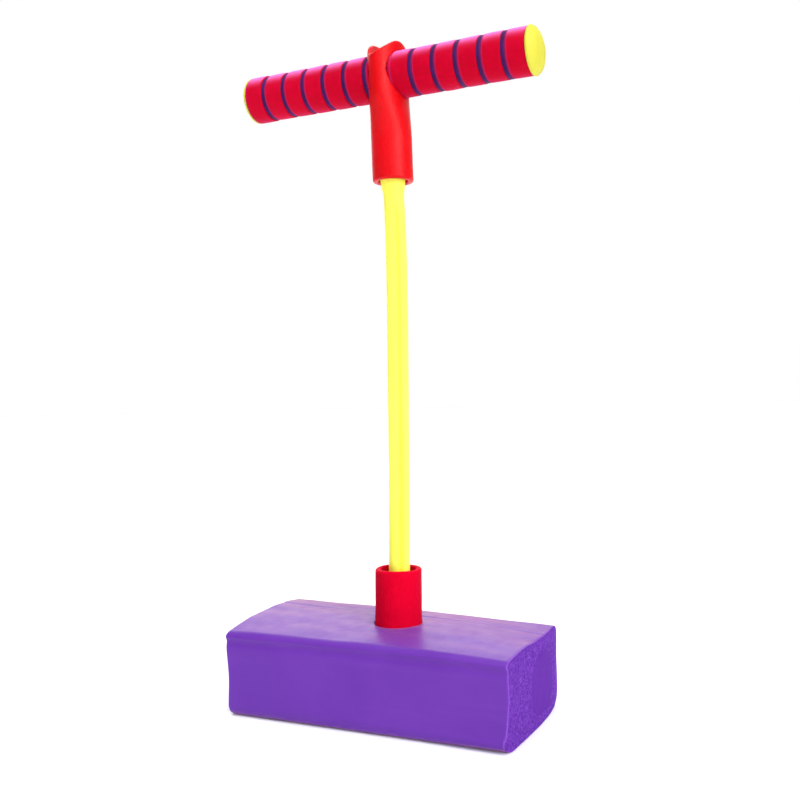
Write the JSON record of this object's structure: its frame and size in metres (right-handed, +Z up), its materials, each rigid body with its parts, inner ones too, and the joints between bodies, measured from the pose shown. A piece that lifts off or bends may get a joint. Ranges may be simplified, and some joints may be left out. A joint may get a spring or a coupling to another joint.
{
  "type": "foam pogo jumper",
  "caption": "Children's foam pogo jumper: a long foam base block to stand on, a stretchy rubber stem rising from a foam collar, and a padded T handlebar through a foam sleeve.",
  "frame": {"origin": "on the base's underside, on the stem's axis, where the jumper stands on the floor", "axes": "+Z up along the stem, +X along the base and the handlebar towards the end of the base that has the round-cornered plug, -Y the front"},
  "size_m": [0.3207, 0.15, 0.648],
  "materials": {
    "base_foam": "matte",
    "plug_foam": "matte",
    "red_foam": "matte",
    "sleeve_foam": "matte",
    "ring_foam": "matte",
    "stem_rubber": "satin",
    "bellows_vinyl": "satin",
    "cap_plastic": "satin",
    "white_plastic": "satin",
    "grey_plastic": "satin"
  },
  "bodies": {
    "base": {"foam_base": "base_foam", "base_end_plug": "plug_foam", "underside_cover": "base_foam", "lower_collar": "red_foam", "bore_liner": "white_plastic", "squeaker_reed_holder": "white_plastic", "squeaker_bellows": "bellows_vinyl"},
    "squeaker_top": {"squeaker_cap": "white_plastic"},
    "stem_root": {"stem_foot": "stem_rubber", "anchor_washer": "grey_plastic"},
    "stem_bend": {"stem_neck": "stem_rubber"},
    "stem_length": {"stem_shaft": "stem_rubber"},
    "stem_head": {"stem_eye": "stem_rubber", "upper_sleeve": "sleeve_foam"},
    "handlebar": {"core_tube": "white_plastic", "left_stop_washer": "grey_plastic", "right_stop_washer": "grey_plastic", "left_end_cap": "cap_plastic", "right_end_cap": "cap_plastic", "left_ring_1": "ring_foam", "left_ring_2": "ring_foam", "left_ring_3": "ring_foam", "left_ring_4": "ring_foam", "left_ring_5": "ring_foam", "left_ring_6": "ring_foam", "left_grip_0": "red_foam", "left_grip_1": "red_foam", "left_grip_2": "red_foam", "left_grip_3": "red_foam", "left_grip_4": "red_foam", "left_grip_5": "red_foam", "left_grip_6": "red_foam", "right_ring_1": "ring_foam", "right_ring_2": "ring_foam", "right_ring_3": "ring_foam", "right_ring_4": "ring_foam", "right_ring_5": "ring_foam", "right_grip_1": "red_foam", "right_grip_2": "red_foam", "right_grip_3": "red_foam", "right_grip_4": "red_foam", "right_grip_5": "red_foam", "right_grip_6": "red_foam"}
  },
  "joints": [
    {"name": "squeaker_press", "type": "slide", "parent": "base", "child": "squeaker_top", "axis": [0, 0, -1], "range_m": [0, 0.008], "stiffness_N_per_m": 500, "deforming": ["squeaker_bellows"]},
    {"name": "stem_twist", "type": "hinge", "parent": "base", "child": "stem_root", "pos_m": [0, 0, 0.011], "axis": [0, 0, 1], "range_deg": [-60, 60], "stiffness_Nm_per_rad": 0.6},
    {"name": "stem_lean_front_back", "type": "hinge", "parent": "stem_root", "child": "stem_bend", "pos_m": [0, 0, 0.133], "axis": [1, 0, 0], "range_deg": [-30, 30], "stiffness_Nm_per_rad": 3},
    {"name": "stem_lean_sideways", "type": "hinge", "parent": "stem_bend", "child": "stem_length", "pos_m": [0, 0, 0.153], "axis": [0, 1, 0], "range_deg": [-30, 30], "stiffness_Nm_per_rad": 3},
    {"name": "stem_stretch", "type": "slide", "parent": "stem_length", "child": "stem_head", "axis": [0, 0, 1], "range_m": [0, 0.3], "stiffness_N_per_m": 120, "deforming": ["stem_shaft"]},
    {"name": "handlebar_roll", "type": "hinge", "parent": "stem_head", "child": "handlebar", "pos_m": [0, 0, 0.6174], "axis": [1, 0, 0], "continuous": true}
  ]
}
